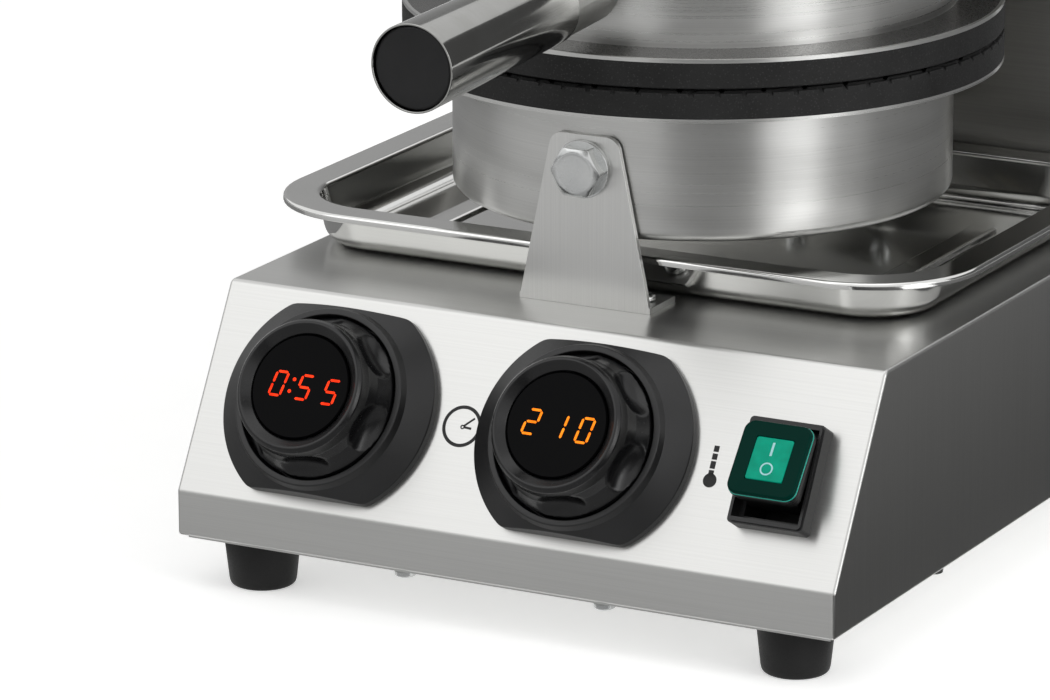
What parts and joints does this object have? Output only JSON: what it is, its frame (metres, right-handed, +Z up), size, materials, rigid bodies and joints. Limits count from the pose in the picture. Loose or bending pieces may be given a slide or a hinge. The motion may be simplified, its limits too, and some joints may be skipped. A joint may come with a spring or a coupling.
{
  "type": "waffle cone maker",
  "caption": "Countertop waffle cone maker: round diamond-grooved cast plates, rear-hinged lid with bar handle, sloped panel with digital dials and a green rocker, drip tray",
  "frame": {"origin": "middle of the whole outline in X and Y, on the table plane under the feet", "axes": "+X to the right seen from the front, +Y to the rear, +Z up; the handle points to -Y"},
  "size_m": [0.265, 0.4154, 0.2712],
  "materials": {
    "body_steel": "brushed stainless sheet, 1.5 mm, straight grain",
    "column_steel": "dark brushed stainless sheet, horizontal grain",
    "drum_steel": "spun stainless sheet with circumferential brushing",
    "tray_steel": "deep-drawn stainless sheet, mirror polished",
    "handle_steel": "polished stainless tube",
    "stem_steel": "satin stainless tube",
    "cast_iron": "cast iron, coated, fine grain",
    "hinge_steel": "milled steel, satin",
    "zinc_screws": "bright zinc-plated steel fasteners",
    "rubber_feet": "black moulded rubber",
    "satin_black": "black heat-resistant plastic, fine satin texture",
    "gloss_black": "glossy black display window",
    "cap_grey": "dark grey moulded plastic",
    "clear_green": "clear green soft plastic splash cap",
    "key_green": "green moulded rocker key",
    "heater_steel": "annealed tubular heater sheath",
    "mineral_wool": "pressed mineral wool",
    "board_green": "printed circuit board with components",
    "terminal_white": "ivory terminal strip",
    "relay_grey": "finned solid state relay",
    "brass": "turned brass"
  },
  "bodies": {
    "base": {"base_housing": "body_steel", "floor_plate": "body_steel", "rubber_feet": "rubber_feet", "foot_screws": "zinc_screws", "floor_screws": "zinc_screws", "front_bracket": "body_steel", "bracket_bolt": "zinc_screws", "bracket_washer": "zinc_screws", "bracket_nut": "zinc_screws", "bracket_screws": "zinc_screws", "rear_column": "column_steel", "column_cover": "column_steel", "column_screws": "zinc_screws", "cover_screws": "zinc_screws", "drum_neck": "drum_steel", "neck_screws": "zinc_screws", "lower_drum": "drum_steel", "lower_plate": "cast_iron", "lower_heater": "heater_steel", "lower_clamp_disc": "hinge_steel", "lower_insulation": "mineral_wool", "lower_sensor": "zinc_screws", "lower_plate_screws": "zinc_screws", "hinge_blocks": "hinge_steel", "block_screws": "zinc_screws", "timer_bezel": "satin_black", "timer_hub": "satin_black", "timer_display": "gloss_black", "timer_module": "satin_black", "temperature_bezel": "satin_black", "temperature_hub": "satin_black", "temperature_display": "gloss_black", "temperature_module": "satin_black", "hub_nuts": "zinc_screws", "switch_frame": "satin_black", "switch_pin": "zinc_screws", "control_board": "board_green", "board_posts": "brass", "terminal_block": "terminal_white", "power_relay": "relay_grey", "cable_gland": "satin_black", "bonding_stud": "brass"},
    "lid": {"upper_drum": "drum_steel", "upper_plate": "cast_iron", "upper_heater": "heater_steel", "upper_clamp_disc": "hinge_steel", "upper_insulation": "mineral_wool", "upper_plate_screws": "zinc_screws", "lid_yoke": "hinge_steel", "yoke_screws": "zinc_screws", "hinge_shaft": "hinge_steel", "handle_grip": "handle_steel", "handle_stem": "stem_steel", "handle_end_cap": "cap_grey"},
    "timer_dial": {"timer_dial_ring": "satin_black"},
    "temperature_dial": {"temperature_dial_ring": "satin_black"},
    "rocker": {"switch_skirt": "satin_black", "switch_key": "key_green", "switch_cap": "clear_green"},
    "tray": {"drip_tray": "tray_steel"}
  },
  "joints": [
    {"name": "lid_hinge", "type": "hinge", "parent": "base", "child": "lid", "pos_m": [0.007, 0.10472, 0.25498], "axis": [-1, 0, 0], "range_deg": [0, 120]},
    {"name": "timer_turn", "type": "hinge", "parent": "base", "child": "timer_dial", "pos_m": [-0.0669, -0.13263, 0.0674], "axis": [0, -0.866, 0.5], "continuous": true},
    {"name": "temperature_turn", "type": "hinge", "parent": "base", "child": "temperature_dial", "pos_m": [0.031, -0.13263, 0.0674], "axis": [0, -0.866, 0.5], "continuous": true},
    {"name": "rocker_tilt", "type": "hinge", "parent": "base", "child": "rocker", "pos_m": [0.1048, -0.13185, 0.06476], "axis": [1, 0, 0], "range_deg": [0, 19.6]},
    {"name": "tray_slide", "type": "slide", "parent": "base", "child": "tray", "axis": [1, 0, 0], "range_m": [-0.14, 0.14]}
  ]
}
